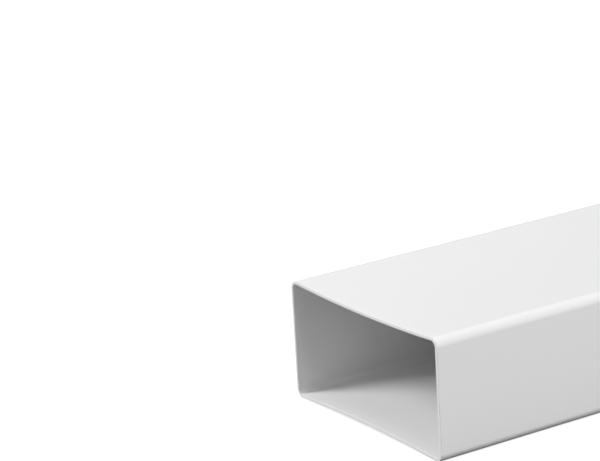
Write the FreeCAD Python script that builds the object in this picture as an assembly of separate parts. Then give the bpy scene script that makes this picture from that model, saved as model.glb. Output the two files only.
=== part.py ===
import FreeCAD, Part
import math
import os

# Flat channel duct: one straight length of extruded rigid PVC, open at both ends.
# Millimetres. X runs across the duct, Y along it and Z up.
# The origin is on the floor, under the middle of the length.

# Driving dimensions
LENGTH = 1000.0      # cut length of the stock
WIDTH = 110.0        # outside, over the two flat side walls
HEIGHT = 55.0        # outside, over the crowns of the rounded corners
WALL = 1.5           # the same all the way round the section
INNER_CORNER = 2.5   # inside radius of the four corners
BOW = 1.5            # how far the middle of each wide wall sinks towards the passage
EDGE_EASE = 0.3      # radius that takes the sharpness off the edges of the cut ends


def section_point(x, z):
    """A point of the cross-section, which is drawn in the plane of the front end."""
    return FreeCAD.Vector(x, -LENGTH / 2, z)


def section_outline(width, height, corner):
    """Closed outline of the section: flat sides, round corners and wide walls that bow inwards.

    Each wide wall is one shallow arc whose centre lies outside the duct. It touches the two
    corner arcs from outside, so the outline turns smoothly from the side over the crown of the
    corner into the bow. The outline is centred on the height of the duct.
    """
    corner_x = width / 2 - corner
    corner_z = height / 2 - corner
    bow_crown_z = height / 2 - BOW
    # Centre of the bow arc to centre of the corner arc, where the two arcs touch
    centres = (corner_x ** 2 + BOW ** 2) / (2 * BOW)
    touch_angle = math.pi / 2 + math.asin(corner_x / centres)

    def on_corner(angle, side, face):
        """Point of one corner arc, by its angle above the horizontal."""
        x = corner_x + corner * math.cos(angle)
        z = corner_z + corner * math.sin(angle)
        return section_point(side * x, HEIGHT / 2 + face * z)

    def corner_arc(side, face):
        """Corner arc from the flat side wall to the bowed wide wall."""
        return Part.Arc(
            on_corner(0, side, face),
            on_corner(touch_angle / 2, side, face),
            on_corner(touch_angle, side, face),
        ).toShape()

    def bow_arc(face):
        """Arc of one wide wall: face is +1 for the upper wall and -1 for the lower."""
        return Part.Arc(
            on_corner(touch_angle, 1, face),
            section_point(0, HEIGHT / 2 + face * bow_crown_z),
            on_corner(touch_angle, -1, face),
        ).toShape()

    def side_line(side):
        """Straight line of one side wall: side is +1 for the right wall and -1 for the left."""
        return Part.LineSegment(on_corner(0, side, -1), on_corner(0, side, 1)).toShape()

    return Part.Wire([
        side_line(1),
        corner_arc(1, 1),
        bow_arc(1),
        corner_arc(-1, 1),
        side_line(-1),
        corner_arc(-1, -1),
        bow_arc(-1),
        corner_arc(1, -1),
    ])


def make_duct():
    """The duct: the ring between the outer and inner outline, drawn out along its length."""
    outer = section_outline(WIDTH, HEIGHT, INNER_CORNER + WALL)
    inner = section_outline(WIDTH - 2 * WALL, HEIGHT - 2 * WALL, INNER_CORNER)
    ring = Part.makeFace([outer, inner], "Part::FaceMakerBullseye")
    drawn = ring.extrude(FreeCAD.Vector(0, LENGTH, 0))
    # The edges that the two cuts leave lie across the duct, and all the others run its full length
    rim_edges = [edge for edge in drawn.Edges if edge.BoundBox.YLength < LENGTH / 2]
    return drawn.makeFillet(min(EDGE_EASE, WALL / 4), rim_edges)


os.makedirs("parts", exist_ok=True)
make_duct().exportStep("parts/flat_duct.step")
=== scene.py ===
import logging
import math
from dataclasses import dataclass
from enum import Enum

import bpy
import numpy as np
from mathutils import Matrix, Vector


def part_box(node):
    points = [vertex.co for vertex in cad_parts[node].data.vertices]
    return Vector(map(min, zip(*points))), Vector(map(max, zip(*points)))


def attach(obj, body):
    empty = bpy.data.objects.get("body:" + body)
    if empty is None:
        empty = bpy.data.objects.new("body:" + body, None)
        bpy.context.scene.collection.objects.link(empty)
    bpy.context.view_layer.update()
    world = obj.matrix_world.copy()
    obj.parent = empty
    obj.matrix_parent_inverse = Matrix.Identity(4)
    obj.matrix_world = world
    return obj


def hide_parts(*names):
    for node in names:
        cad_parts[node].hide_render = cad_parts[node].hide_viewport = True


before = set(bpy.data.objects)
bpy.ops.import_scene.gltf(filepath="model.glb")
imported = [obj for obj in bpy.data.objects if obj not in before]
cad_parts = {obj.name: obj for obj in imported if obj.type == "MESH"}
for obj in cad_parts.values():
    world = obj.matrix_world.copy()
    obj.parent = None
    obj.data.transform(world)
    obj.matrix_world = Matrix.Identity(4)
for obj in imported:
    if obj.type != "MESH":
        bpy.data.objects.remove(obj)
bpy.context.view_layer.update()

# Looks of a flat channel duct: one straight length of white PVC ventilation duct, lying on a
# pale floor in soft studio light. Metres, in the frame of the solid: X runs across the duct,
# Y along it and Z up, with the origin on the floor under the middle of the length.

LOG = logging.getLogger("flat_duct")

BODY = "root"
DUCT_NODE = "flat_duct"
DUCT_PIECE = "duct_channel"
PHOTO_WIDTH_PX = 600
QUARTER_TURN = math.pi / 2
NOISE_MIDDLE = 0.5
NOISE_ROUGHNESS = 0.55

Colour = tuple[float, float, float]


def direction(azimuth: float, elevation: float) -> Vector:
    """Unit vector towards a place round the duct.

    Args:
        azimuth: degrees round from the front, towards the right.
        elevation: degrees above the floor.

    Returns:
        The vector, pointing away from the duct.
    """
    turn, rise = math.radians(azimuth), math.radians(elevation)
    level = math.cos(rise)
    return Vector((math.sin(turn) * level, -math.cos(turn) * level, math.sin(rise)))


def unit_rows(angles: np.ndarray) -> np.ndarray:
    """Unit vectors at those angles, in radians, one to a row."""
    return np.stack([np.cos(angles), np.sin(angles)], 1)


class Value:
    """A number that varies over a surface: one output of a shader graph, with arithmetic."""

    def __init__(self, graph: "ShaderGraph", socket: bpy.types.NodeSocket) -> None:
        """Keep the graph and the socket that carries the number."""
        self.graph = graph
        self.socket = socket

    def _maths(self, operation: str, first: "Value | float", second: "Value | float") -> "Value":
        """Add one Math node.

        Args:
            operation: Blender's name of the operation.
            first: left operand.
            second: right operand.

        Returns:
            The node's result.
        """
        return self.graph.node("ShaderNodeMath", {"operation": operation}, {0: first, 1: second})

    def __add__(self, other: "Value | float") -> "Value":
        """Self plus other."""
        return self._maths("ADD", self, other)

    def __radd__(self, other: float) -> "Value":
        """Other plus self."""
        return self._maths("ADD", other, self)

    def __sub__(self, other: "Value | float") -> "Value":
        """Self minus other."""
        return self._maths("SUBTRACT", self, other)

    def __rsub__(self, other: float) -> "Value":
        """Other minus self."""
        return self._maths("SUBTRACT", other, self)

    def __mul__(self, other: "Value | float") -> "Value":
        """Self times other."""
        return self._maths("MULTIPLY", self, other)

    def __rmul__(self, other: float) -> "Value":
        """Other times self."""
        return self._maths("MULTIPLY", other, self)


class ShaderGraph:
    """The node tree of one material, empty at first."""

    def __init__(self, name: str) -> None:
        """Make a new material of that name and clear its nodes."""
        self.material = bpy.data.materials.new(name)
        self.material.use_nodes = True
        self.tree = self.material.node_tree
        self.tree.nodes.clear()

    def node(
        self,
        kind: str,
        settings: dict[str, object] | None = None,
        inputs: dict[int | str, object] | None = None,
        output: int | str = 0,
    ) -> Value:
        """Add a node, set it up and feed its sockets.

        Args:
            kind: Blender's type name of the node.
            settings: attributes of the node, set before its sockets.
            inputs: numbers, colours or links, by socket index or name.
            output: the socket that is handed back.

        Returns:
            The chosen output of the new node, or the first input of a node that has no output.
        """
        made = self.tree.nodes.new(kind)
        for attribute, setting in (settings or {}).items():
            setattr(made, attribute, setting)
        for key, given in (inputs or {}).items():
            if isinstance(given, Value):
                self.tree.links.new(given.socket, made.inputs[key])
            else:
                made.inputs[key].default_value = given
        return Value(self, made.outputs[output] if len(made.outputs) else made.inputs[0])

    def stretched_noise(self, grain: Vector, detail: float, seed: float) -> Value:
        """Noise over the object's own coordinates, with its own grain length along each axis.

        Args:
            grain: length of one grain along X, Y and Z, in metres.
            detail: number of finer octaves.
            seed: offset that sets this noise apart from the others.

        Returns:
            Noise from 0 to 1.
        """
        place = self.node("ShaderNodeTexCoord", output="Object")
        scaled = self.node(
            "ShaderNodeVectorMath",
            {"operation": "MULTIPLY_ADD"},
            {0: place, 1: [1.0 / length for length in grain], 2: [seed, seed, seed]},
        )
        return self.node(
            "ShaderNodeTexNoise",
            {"noise_dimensions": "3D"},
            {"Vector": scaled, "Scale": 1.0, "Detail": detail, "Roughness": NOISE_ROUGHNESS},
        )

    def even_noise(self, grain: float, detail: float, seed: float) -> Value:
        """Noise with the same grain length along all three axes."""
        return self.stretched_noise(Vector((grain, grain, grain)), detail, seed)

    def tint(self, amount: Value, low: Colour, high: Colour) -> Value:
        """Mix two colours.

        Args:
            amount: 0 for the low colour and 1 for the high one.
            low: linear RGB.
            high: linear RGB.

        Returns:
            The mixed colour.
        """
        return self.node(
            "ShaderNodeMix",
            {"data_type": "RGBA"},
            {"Factor": amount, "A": (*low, 1.0), "B": (*high, 1.0)},
            output="Result",
        )

    def bump(self, height: Value, distance: float) -> Value:
        """Turn a height from 0 to 1 into a bent normal.

        Args:
            height: the relief.
            distance: its full height, in metres.

        Returns:
            The normal.
        """
        return self.node(
            "ShaderNodeBump",
            inputs={"Strength": 1.0, "Distance": distance, "Height": height},
        )

    def finish(self, sockets: dict[int | str, object]) -> bpy.types.Material:
        """Add the surface's shader and join it to the material's output.

        Args:
            sockets: numbers, colours or links of the shader, by name.

        Returns:
            The material.
        """
        shader = self.node("ShaderNodeBsdfPrincipled", inputs=sockets)
        self.node("ShaderNodeOutputMaterial", inputs={"Surface": shader})
        return self.material


@dataclass(frozen=True)
class ExtrudedPvc:
    """Satin skin that the die leaves on white rigid PVC, with faint draw lines along the length."""

    name: str = "extruded_pvc"
    white: Colour = (0.800, 0.800, 0.800)
    shade: Colour = (0.785, 0.785, 0.785)
    roughness: float = 0.30
    roughness_swing: float = 0.08
    refraction: float = 1.53
    cloud_grain: float = 0.18
    line_width: float = 0.0011
    line_length: float = 0.9
    line_depth: float = 0.000010
    pebble_grain: float = 0.0035
    pebble_depth: float = 0.000006

    def material(self) -> bpy.types.Material:
        """Build the material of one side of the walls.

        Returns:
            The material.
        """
        graph = ShaderGraph(self.name)
        clouds = graph.even_noise(self.cloud_grain, detail=2.0, seed=3.1)
        line_grain = Vector((self.line_width, self.line_length, self.line_width))
        lines = graph.stretched_noise(line_grain, detail=3.0, seed=7.7)
        pebbles = graph.even_noise(self.pebble_grain, detail=2.0, seed=12.4)
        relief = lines + pebbles * (self.pebble_depth / self.line_depth)
        unevenness = (lines - NOISE_MIDDLE) + (clouds - NOISE_MIDDLE)
        return graph.finish({
            "Base Color": graph.tint(clouds, self.shade, self.white),
            "Roughness": self.roughness + unevenness * self.roughness_swing,
            "IOR": self.refraction,
            "Normal": graph.bump(relief, self.line_depth),
        })


@dataclass(frozen=True)
class SawnPvc:
    """Duller face that the saw leaves on the cut ends, with fine tooth marks down the height. Its colour
    is darker than the skin's, as painted shade on the rims.
    """

    # Darker than the extruded skin's white: painted shade on the cut rims, on top of the duller saw
    # finish.
    white: Colour = (0.740, 0.740, 0.740)
    shade: Colour = (0.710, 0.710, 0.710)
    roughness: float = 0.55
    roughness_swing: float = 0.15
    refraction: float = 1.53
    mark_width: float = 0.00022
    mark_height: float = 0.012
    mark_depth: float = 0.000012

    def material(self) -> bpy.types.Material:
        """Build the material of the cut rims.

        Returns:
            The material.
        """
        graph = ShaderGraph("sawn_pvc")
        mark_grain = Vector((self.mark_width, self.mark_width, self.mark_height))
        marks = graph.stretched_noise(mark_grain, detail=3.0, seed=1.9)
        return graph.finish({
            "Base Color": graph.tint(marks, self.shade, self.white),
            "Roughness": self.roughness + (marks - NOISE_MIDDLE) * self.roughness_swing,
            "IOR": self.refraction,
            "Normal": graph.bump(marks, self.mark_depth),
        })


@dataclass(frozen=True)
class StudioPaper:
    """Matt white paper, lit from behind as on a light table, so that it shows nearly white."""

    white: Colour = (0.905, 0.905, 0.905)
    shade: Colour = (0.890, 0.890, 0.890)
    glow_colour: Colour = (1.0, 1.0, 1.0)
    glow: float = 0.80
    roughness: float = 0.9
    gloss: float = 0.0
    cloud_grain: float = 0.6
    fibre_grain: float = 0.0012
    fibre_depth: float = 0.000015

    def material(self) -> bpy.types.Material:
        """Build the paper's material.

        Returns:
            The material.
        """
        graph = ShaderGraph("studio_paper")
        clouds = graph.even_noise(self.cloud_grain, detail=2.0, seed=5.3)
        fibres = graph.even_noise(self.fibre_grain, detail=2.0, seed=9.2)
        return graph.finish({
            "Base Color": graph.tint(clouds, self.shade, self.white),
            "Roughness": self.roughness,
            "Specular IOR Level": self.gloss,
            "Emission Color": (*self.glow_colour, 1.0),
            "Emission Strength": self.glow,
            "Normal": graph.bump(fibres, self.fibre_depth),
        })


@dataclass(frozen=True)
class StudioTable:
    """Matt table under the paper, darker than it, which gives light back to the duct from below."""

    pale: Colour = (0.57, 0.57, 0.57)
    roughness: float = 0.9
    gloss: float = 0.0

    def material(self) -> bpy.types.Material:
        """Build the table's material.

        Returns:
            The material.
        """
        return ShaderGraph("studio_table").finish({
            "Base Color": (*self.pale, 1.0),
            "Roughness": self.roughness,
            "Specular IOR Level": self.gloss,
        })


class Face(Enum):
    """The duct's materials, by their place on the mesh."""

    OUTSIDE = 0
    INSIDE = 1
    SAWN = 2


@dataclass
class DuctSection:
    """Cross-section of the duct: flat sides, round corners and wide walls that bow inwards."""

    width: float
    height: float
    wall: float = 0.0015
    inner_corner: float = 0.0025
    bow: float = 0.0015
    side_steps: int = 16
    corner_steps: int = 14
    bow_steps: int = 40

    def outline(self) -> tuple[np.ndarray, np.ndarray]:
        """Walk round the outside of the section, anticlockwise seen from the front end.

        The bow arcs are centred outside the duct and touch the corner arcs from outside, so the
        outline turns smoothly all the way round. The lower half is the upper half turned over.

        Returns:
            Points and outward unit normals, as rows of x and z, with z from mid-height.
        """
        corner = self.inner_corner + self.wall
        corner_x = self.width / 2 - corner
        corner_z = self.height / 2 - corner
        centre_gap = (corner_x ** 2 + self.bow ** 2) / (2 * self.bow)
        lean = math.asin(corner_x / centre_gap)
        bow_radius = centre_gap - corner
        bow_centre_z = self.height / 2 - self.bow + bow_radius

        right_turn = np.linspace(0.0, QUARTER_TURN + lean, self.corner_steps, endpoint=False)
        right_normals = unit_rows(right_turn)
        right_points = np.array([corner_x, corner_z]) + corner * right_normals

        swing = np.linspace(lean, -lean, self.bow_steps, endpoint=False)
        bow_normals = unit_rows(swing + QUARTER_TURN)
        bow_points = np.array([0.0, bow_centre_z]) - bow_radius * bow_normals

        left_turn = np.linspace(QUARTER_TURN + lean, 0.0, self.corner_steps, endpoint=False)
        left_normals = unit_rows(left_turn) * np.array([-1.0, 1.0])
        left_points = np.array([-corner_x, corner_z]) + corner * left_normals

        drop = np.linspace(corner_z, -corner_z, self.side_steps, endpoint=False)
        side_normals = np.tile([-1.0, 0.0], (self.side_steps, 1))
        side_points = np.stack([np.full(self.side_steps, -self.width / 2), drop], 1)

        points = np.concatenate([right_points, bow_points, left_points, side_points])
        normals = np.concatenate([right_normals, bow_normals, left_normals, side_normals])
        return np.concatenate([points, -points]), np.concatenate([normals, -normals])


@dataclass
class WallLoop:
    """Lengthwise section of the wall, closed round both cut rims with their eased edges."""

    length: float
    wall: float
    edge_ease: float = 0.0003
    bay: float = 0.02
    ease_steps: int = 5
    rim_steps: int = 3

    def stations(self) -> tuple[np.ndarray, np.ndarray, list[Face]]:
        """Walk along the outside, round the back rim, along the inside and round the front rim.

        Returns:
            Rows of depth under the outer skin and y; rows of the normal's share of the section's
            normal and of y; and the face that follows each station.
        """
        half = self.length / 2 - self.edge_ease
        bays = round(2 * half / self.bay)
        run = np.linspace(-half, half, bays, endpoint=False)
        turn = np.linspace(0.0, QUARTER_TURN, self.ease_steps, endpoint=False)
        outer_edge, inner_edge = self.edge_ease, self.wall - self.edge_ease
        rim = np.linspace(outer_edge, inner_edge, self.rim_steps, endpoint=False)

        outer = np.stack([np.zeros(bays), run], 1)
        outer_normals = np.tile([1.0, 0.0], (bays, 1))
        # Depth runs against the section's normal, so a step along a normal makes it less.
        ease_reach = self.edge_ease * np.array([-1.0, 1.0])
        outer_ease_normals = unit_rows(turn)
        outer_ease = np.array([outer_edge, half]) + ease_reach * outer_ease_normals
        flat = np.stack([rim, np.full(self.rim_steps, self.length / 2)], 1)
        flat_normals = np.tile([0.0, 1.0], (self.rim_steps, 1))
        inner_ease_normals = unit_rows(turn + QUARTER_TURN)
        inner_ease = np.array([inner_edge, half]) + ease_reach * inner_ease_normals

        points = np.concatenate([outer, outer_ease, flat, inner_ease])
        normals = np.concatenate([outer_normals, outer_ease_normals, flat_normals, inner_ease_normals])
        rim_faces = [Face.SAWN] * (len(points) - bays)
        faces = [Face.OUTSIDE] * bays + rim_faces + [Face.INSIDE] * bays + rim_faces
        mirrored = np.array([self.wall, 0.0]) - points
        return np.concatenate([points, mirrored]), np.concatenate([normals, -normals]), faces


@dataclass
class FlatDuct:
    """The duct itself, swept from its section and its wall loop as one closed skin of quads."""

    section: DuctSection
    walls: WallLoop
    middle_z: float
    finishes: dict[Face, ExtrudedPvc | SawnPvc]

    def _skin(self) -> tuple[np.ndarray, np.ndarray, list[Face]]:
        """Sweep the wall loop round the section.

        Returns:
            Points and normals, by ring round the section and station round the wall; and the face
            that follows each station.
        """
        around, around_normals = self.section.outline()
        along, along_normals, faces = self.walls.stations()
        grid = (len(around), len(along))
        depth, y = along[:, 0], along[:, 1]
        across = around[:, None, :] - depth[None, :, None] * around_normals[:, None, :]
        leaning = along_normals[None, :, 0, None] * around_normals[:, None, :]
        points = [across[..., 0], np.broadcast_to(y, grid), across[..., 1] + self.middle_z]
        normals = [leaning[..., 0], np.broadcast_to(along_normals[:, 1], grid), leaning[..., 1]]
        return np.stack(points, -1), np.stack(normals, -1), faces

    @staticmethod
    def _quads(rings: int, stations: int) -> np.ndarray:
        """Join neighbouring rings and stations, round both ways.

        Args:
            rings: number of points round the section.
            stations: number of points round the wall.

        Returns:
            Rows of the four points of each quad, ring by ring.
        """
        ring, station = np.indices((rings, stations))
        next_ring = (ring + 1) % rings
        next_station = (station + 1) % stations
        return np.stack([
            ring * stations + station,
            ring * stations + next_station,
            next_ring * stations + next_station,
            next_ring * stations + station,
        ], -1).reshape(-1, 4)

    def build(self) -> bpy.types.Object:
        """Make the duct's mesh, dress it and let it stand for the solid.

        Returns:
            The duct.
        """
        points, normals, faces = self._skin()
        rings, stations, _ = points.shape
        quads = self._quads(rings, stations)
        mesh = bpy.data.meshes.new(DUCT_PIECE)
        mesh.from_pydata(points.reshape(-1, 3).tolist(), [], quads.tolist())
        for face in Face:
            mesh.materials.append(self.finishes[face].material())
        mesh.polygons.foreach_set("material_index", np.tile([face.value for face in faces], rings))
        mesh.polygons.foreach_set("use_smooth", np.ones(len(quads), bool))
        mesh.normals_split_custom_set_from_vertices(normals.reshape(-1, 3).tolist())
        mesh.validate()
        duct = bpy.data.objects.new(DUCT_PIECE, mesh)
        bpy.context.scene.collection.objects.link(duct)
        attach(duct, BODY)
        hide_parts(DUCT_NODE)
        return duct


@dataclass
class StudioFloor:
    """Plain pale floor: the paper that the camera sees, on the table that lights the duct from below."""

    paper: StudioPaper
    table: StudioTable
    reach: float = 40.0
    paper_thickness: float = 0.0002

    def _sheet(
        self,
        name: str,
        z: float,
        material: bpy.types.Material,
        on_camera: bool,
    ) -> bpy.types.Object:
        """Lay one flat sheet and keep it off the object.

        Args:
            name: name of the sheet.
            z: height of its upper face.
            material: what it is covered with.
            on_camera: whether the camera sees it; if not, the duct does.

        Returns:
            The sheet.
        """
        signs = ((-1, -1), (1, -1), (1, 1), (-1, 1))
        corners = [(x * self.reach, y * self.reach, z) for x, y in signs]
        mesh = bpy.data.meshes.new(name)
        mesh.from_pydata(corners, [], [(0, 1, 2, 3)])
        mesh.materials.append(material)
        sheet = bpy.data.objects.new(name, mesh)
        sheet.visible_camera = on_camera
        sheet.visible_diffuse = not on_camera
        sheet.visible_glossy = not on_camera
        sheet.visible_shadow = False
        bpy.context.scene.collection.objects.link(sheet)
        return sheet

    def build(self) -> tuple[bpy.types.Object, bpy.types.Object]:
        """Lay the paper and the table.

        Returns:
            The paper and the table.
        """
        return (
            self._sheet("studio_paper", 0.0, self.paper.material(), True),
            self._sheet("studio_table", -self.paper_thickness, self.table.material(), False),
        )


class Lit(Enum):
    """What a studio light falls on, with the name of the collection that holds it."""

    DUCT = "lit_duct"
    PAPER = "lit_paper"
    TABLE = "lit_table"


@dataclass(frozen=True)
class SoftLight:
    """One soft box, placed by its direction from what it looks at.

    A narrow spread keeps its light on what it looks at. A light that isn't glossy leaves no mirror
    image in the plastic's sheen.
    """

    name: str
    lit: Lit
    aim: Vector
    azimuth: float
    elevation: float
    width: float
    height: float
    power: float
    distance: float = 2.4
    spread: float = 180.0
    glossy: bool = True

    def build(self, receivers: bpy.types.Collection) -> bpy.types.Object:
        """Hang the light and turn it to its aim.

        Args:
            receivers: the objects that it lights.

        Returns:
            The light.
        """
        lamp = bpy.data.lights.new(self.name, "AREA")
        lamp.shape = "RECTANGLE"
        lamp.size = self.width
        lamp.size_y = self.height
        lamp.energy = self.power
        lamp.spread = math.radians(self.spread)
        light = bpy.data.objects.new(self.name, lamp)
        back = direction(self.azimuth, self.elevation)
        light.location = self.aim + self.distance * back
        light.rotation_euler = (-back).to_track_quat("-Z", "Y").to_euler()
        light.visible_camera = False
        light.visible_glossy = self.glossy
        bpy.context.scene.collection.objects.link(light)
        light.light_linking.receiver_collection = receivers
        return light


@dataclass
class Studio:
    """The lights round the duct, aimed at points on its middle line, and how colours are shown."""

    low: Vector
    high: Vector
    aim_inset: float = 0.03
    aim_height: float = 0.03
    flank_y: float = 0.15
    sky: float = 0.0

    def lights(self) -> list[SoftLight]:
        """List the soft boxes.

        Returns:
            The lights.
        """
        front = Vector((0.0, self.low.y + self.aim_inset, self.aim_height))
        flank = Vector((0.0, self.flank_y, self.aim_height))
        back = Vector((0.0, self.high.y - self.aim_inset, self.aim_height))
        return [
            # Front left: the front end, the upper wall and the floor inside the mouth.
            SoftLight("key", Lit.DUCT, front, azimuth=326.3, elevation=30.9,
                      width=1.09, height=1.86, power=61.5, glossy=False),
            # Right: the right side and the upper wall.
            SoftLight("side", Lit.DUCT, front, azimuth=111.2, elevation=41.0,
                      width=2.26, height=2.98, power=70.2, glossy=False),
            # Front right: the inside of the left wall, through the mouth.
            SoftLight("fill", Lit.DUCT, front, azimuth=35.6, elevation=41.2,
                      width=2.10, height=2.45, power=15.6),
            # Back left: a faint glint along the crests of the upper corners.
            SoftLight("crest", Lit.DUCT, front, azimuth=224.0, elevation=44.0,
                      width=0.60, height=0.60, power=0.8),
            # Left, low and near: the front of the left side.
            SoftLight("left", Lit.DUCT, front, azimuth=268.0, elevation=16.0,
                      width=0.50, height=0.30, power=3.4, distance=1.2, glossy=False),
            # Left and very low: the back half of the left side.
            SoftLight("flank", Lit.DUCT, flank, azimuth=265.0, elevation=5.0,
                      width=0.90, height=0.20, power=6.0, distance=1.6, glossy=False),
            # Back right, in a narrow beam: the back mouth.
            SoftLight("rear", Lit.DUCT, back, azimuth=150.0, elevation=32.0,
                      width=0.50, height=0.50, power=0.2, distance=1.0, spread=45.0, glossy=False),
            # Straight above: the paper, evenly white far past the duct.
            SoftLight("overhead", Lit.PAPER, Vector(), azimuth=0.0, elevation=90.0,
                      width=24.0, height=24.0, power=1105.0, distance=3.0),
            # Left: the table, which the duct shades at the foot of its right side.
            SoftLight("wash", Lit.TABLE, front, azimuth=270.0, elevation=56.0,
                      width=3.0, height=3.0, power=99.0, distance=4.0),
        ]

    def build(self, lit: dict[Lit, bpy.types.Object]) -> None:
        """Make the lights and the sky, and show the colours as they are.

        Args:
            lit: the object that each kind of light falls on.
        """
        receivers = {kind: bpy.data.collections.new(kind.value) for kind in lit}
        for kind, piece in lit.items():
            receivers[kind].objects.link(piece)
        for light in self.lights():
            light.build(receivers[light.lit])
        scene = bpy.context.scene
        scene.world = bpy.data.worlds.new("studio_sky")
        scene.world.use_nodes = True
        background = scene.world.node_tree.nodes["Background"]
        background.inputs["Color"].default_value = (1.0, 1.0, 1.0, 1.0)
        background.inputs["Strength"].default_value = self.sky
        scene.view_settings.view_transform = "Standard"
        scene.view_settings.look = "None"


@dataclass
class PhotoCamera:
    """Camera at the photograph's viewpoint.

    It stands off the foot of the duct's front end and looks along its own line of sight. The focal
    length is in pixels of the photograph, which is PHOTO_WIDTH_PX wide.
    """

    front_y: float
    stand_x: float = 0.9240
    stand_y: float = -0.6130
    stand_z: float = 0.4245
    azimuth: float = 57.673
    elevation: float = 16.728
    roll: float = -3.394
    focal_px: float = 2732.9
    sensor: float = 36.0
    nearest: float = 0.05
    farthest: float = 200.0

    def build(self) -> bpy.types.Object:
        """Place the camera and make it the scene's own.

        Returns:
            The camera.
        """
        lens = bpy.data.cameras.new("photo_camera")
        lens.sensor_fit = "HORIZONTAL"
        lens.sensor_width = self.sensor
        lens.lens = self.focal_px / PHOTO_WIDTH_PX * self.sensor
        lens.clip_start = self.nearest
        lens.clip_end = self.farthest
        camera = bpy.data.objects.new("photo_camera", lens)
        back = direction(self.azimuth, self.elevation)
        sight = (-back).to_track_quat("-Z", "Y").to_matrix().to_4x4()
        stand = Vector((self.stand_x, self.front_y + self.stand_y, self.stand_z))
        tilt = Matrix.Rotation(math.radians(self.roll), 4, "Z")
        camera.matrix_world = Matrix.Translation(stand) @ sight @ tilt
        bpy.context.scene.collection.objects.link(camera)
        bpy.context.scene.camera = camera
        return camera


def main() -> None:
    """Build the duct, its floor, its light and its camera."""
    logging.basicConfig(level=logging.INFO, format="%(message)s")
    low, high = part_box(DUCT_NODE)
    size = high - low
    section = DuctSection(width=size.x, height=size.z)
    walls = WallLoop(length=size.y, wall=section.wall)
    finishes = {
        Face.OUTSIDE: ExtrudedPvc(),
        Face.INSIDE: ExtrudedPvc("inner_pvc", roughness=0.60, line_depth=0.000014),
        Face.SAWN: SawnPvc(),
    }
    duct = FlatDuct(section, walls, (low.z + high.z) / 2, finishes).build()
    LOG.info("%s: %d faces", duct.name, len(duct.data.polygons))
    paper, table = StudioFloor(StudioPaper(), StudioTable()).build()
    LOG.info("floor: %s on %s", paper.name, table.name)
    Studio(low, high).build({Lit.DUCT: duct, Lit.PAPER: paper, Lit.TABLE: table})
    PhotoCamera(low.y).build()


if __name__ == "__main__":
    main()
